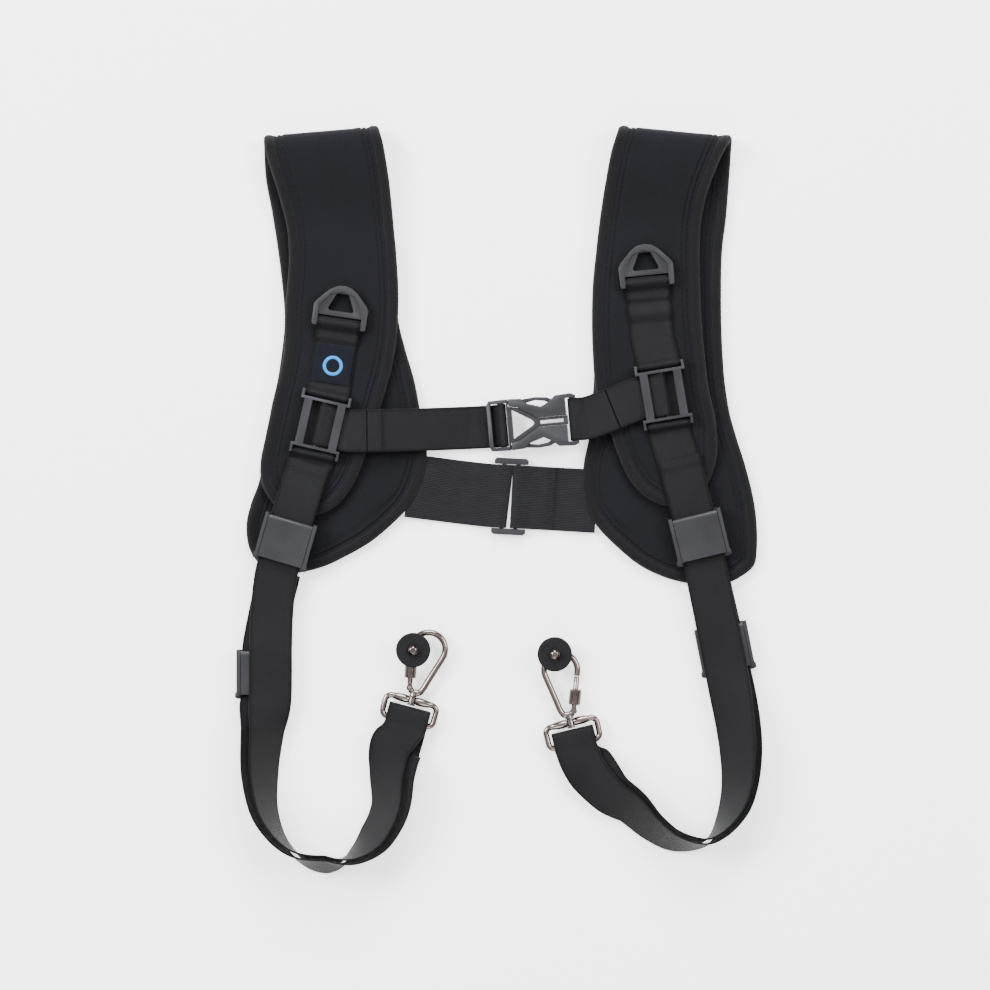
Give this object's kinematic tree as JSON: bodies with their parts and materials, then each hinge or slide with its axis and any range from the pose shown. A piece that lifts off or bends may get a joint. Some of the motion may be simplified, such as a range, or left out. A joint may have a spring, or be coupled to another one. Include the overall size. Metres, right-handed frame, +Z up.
{
  "type": "dual camera harness",
  "caption": "Padded shoulder harness for two cameras, laid flat: folded pads, chest and back straps, and two camera straps that end in swivel carabiners with camera screws.",
  "frame": {"origin": "middle of the bounding box seen from above, on the surface that the harness lies on", "axes": "+X to the right and +Y to the shoulders as seen from above, +Z up from the surface"},
  "size_m": [0.3697, 0.5246, 0.0322],
  "materials": {
    "neoprene": "matte knit over foam",
    "binding": "woven, rounded edge",
    "webbing": "woven nylon",
    "elastic": "ribbed woven elastic",
    "patch": "stitched, with a blue ring",
    "plastic": "fine moulded texture",
    "gunmetal": "dark plated, polished",
    "rubber": "matte"
  },
  "bodies": {
    "harness": {"left_pad": "neoprene", "left_pad_binding": "binding", "right_pad": "neoprene", "right_pad_binding": "binding", "left_centre_webbing": "webbing", "right_centre_webbing": "webbing", "label_patch": "patch", "left_ladder_buckle": "plastic", "right_ladder_buckle": "plastic", "left_camera_strap": "webbing", "right_camera_strap": "webbing", "left_front_lock_frame": "plastic", "right_front_lock_frame": "plastic", "left_rear_lock_frame": "plastic", "left_rear_lock_lever": "plastic", "right_rear_lock_frame": "plastic", "right_rear_lock_lever": "plastic", "buckle_male": "plastic", "buckle_female": "plastic", "left_chest_strap": "webbing", "right_chest_strap": "webbing", "back_slider": "plastic", "left_back_elastic": "elastic", "right_back_elastic": "elastic"},
    "left_ring": {"left_d_ring": "plastic"},
    "left_lever": {"left_front_lock_lever": "plastic"},
    "left_swivel": {"left_swivel_ring": "gunmetal"},
    "left_hook": {"left_carabiner": "gunmetal", "left_rubber_disc": "rubber", "left_camera_screw": "gunmetal"},
    "left_gate_body": {"left_gate": "gunmetal"},
    "left_sleeve": {"left_lock_sleeve": "gunmetal"},
    "right_ring": {"right_d_ring": "plastic"},
    "right_lever": {"right_front_lock_lever": "plastic"},
    "right_swivel": {"right_swivel_ring": "gunmetal"},
    "right_hook": {"right_carabiner": "gunmetal", "right_rubber_disc": "rubber", "right_camera_screw": "gunmetal"},
    "right_gate_body": {"right_gate": "gunmetal"},
    "right_sleeve": {"right_lock_sleeve": "gunmetal"}
  },
  "joints": [
    {"name": "left_ring_swing", "type": "hinge", "parent": "harness", "child": "left_ring", "pos_m": [-0.11138, 0.12368, 0.01713], "axis": [0.9891, -0.1475, 0], "range_deg": [0, 150]},
    {"name": "left_lever_hinge", "type": "hinge", "parent": "harness", "child": "left_lever", "pos_m": [-0.14496, -0.0158, 0.01969], "axis": [-0.9592, 0.2826, 0], "range_deg": [0, 90]},
    {"name": "left_swivel_swing", "type": "hinge", "parent": "harness", "child": "left_swivel", "pos_m": [-0.0642, -0.15498, 0.00723], "axis": [0.9659, -0.2588, 0], "range_deg": [0, 90]},
    {"name": "left_swivel_turn", "type": "hinge", "parent": "left_swivel", "child": "left_hook", "pos_m": [-0.06024, -0.1402, 0.00723], "axis": [0.2588, 0.9659, 0], "continuous": true},
    {"name": "left_gate_hinge", "type": "hinge", "parent": "left_hook", "child": "left_gate_body", "pos_m": [-0.06203, -0.13144, 0.00723], "axis": [0, 0, -1], "range_deg": [0, 28], "stiffness_Nm_per_rad": 0.03, "springref_deg": -34.38},
    {"name": "left_sleeve_slide", "type": "slide", "parent": "left_gate_body", "child": "left_sleeve", "axis": [0.0562, 0.9984, 0], "range_m": [-0.003, 0.009]},
    {"name": "right_ring_swing", "type": "hinge", "parent": "harness", "child": "right_ring", "pos_m": [0.1041, 0.15274, 0.01713], "axis": [0.9954, 0.0953, 0], "range_deg": [0, 150]},
    {"name": "right_lever_hinge", "type": "hinge", "parent": "harness", "child": "right_lever", "pos_m": [0.13756, -0.01236, 0.01686], "axis": [-0.9713, -0.2377, 0], "range_deg": [0, 90]},
    {"name": "right_swivel_swing", "type": "hinge", "parent": "harness", "child": "right_swivel", "pos_m": [0.05416, -0.17083, 0.00723], "axis": [0.9724, 0.2334, 0], "range_deg": [0, 90]},
    {"name": "right_swivel_turn", "type": "hinge", "parent": "right_swivel", "child": "right_hook", "pos_m": [0.05059, -0.15595, 0.00723], "axis": [-0.2334, 0.9724, 0], "continuous": true},
    {"name": "right_gate_hinge", "type": "hinge", "parent": "right_hook", "child": "right_gate_body", "pos_m": [0.05299, -0.14767, 0.00723], "axis": [0, 0, 1], "range_deg": [0, 28], "stiffness_Nm_per_rad": 0.03, "springref_deg": -34.38},
    {"name": "right_sleeve_slide", "type": "slide", "parent": "right_gate_body", "child": "right_sleeve", "axis": [0.092, 0.9958, 0], "range_m": [-0.002, 0.0115]}
  ]
}
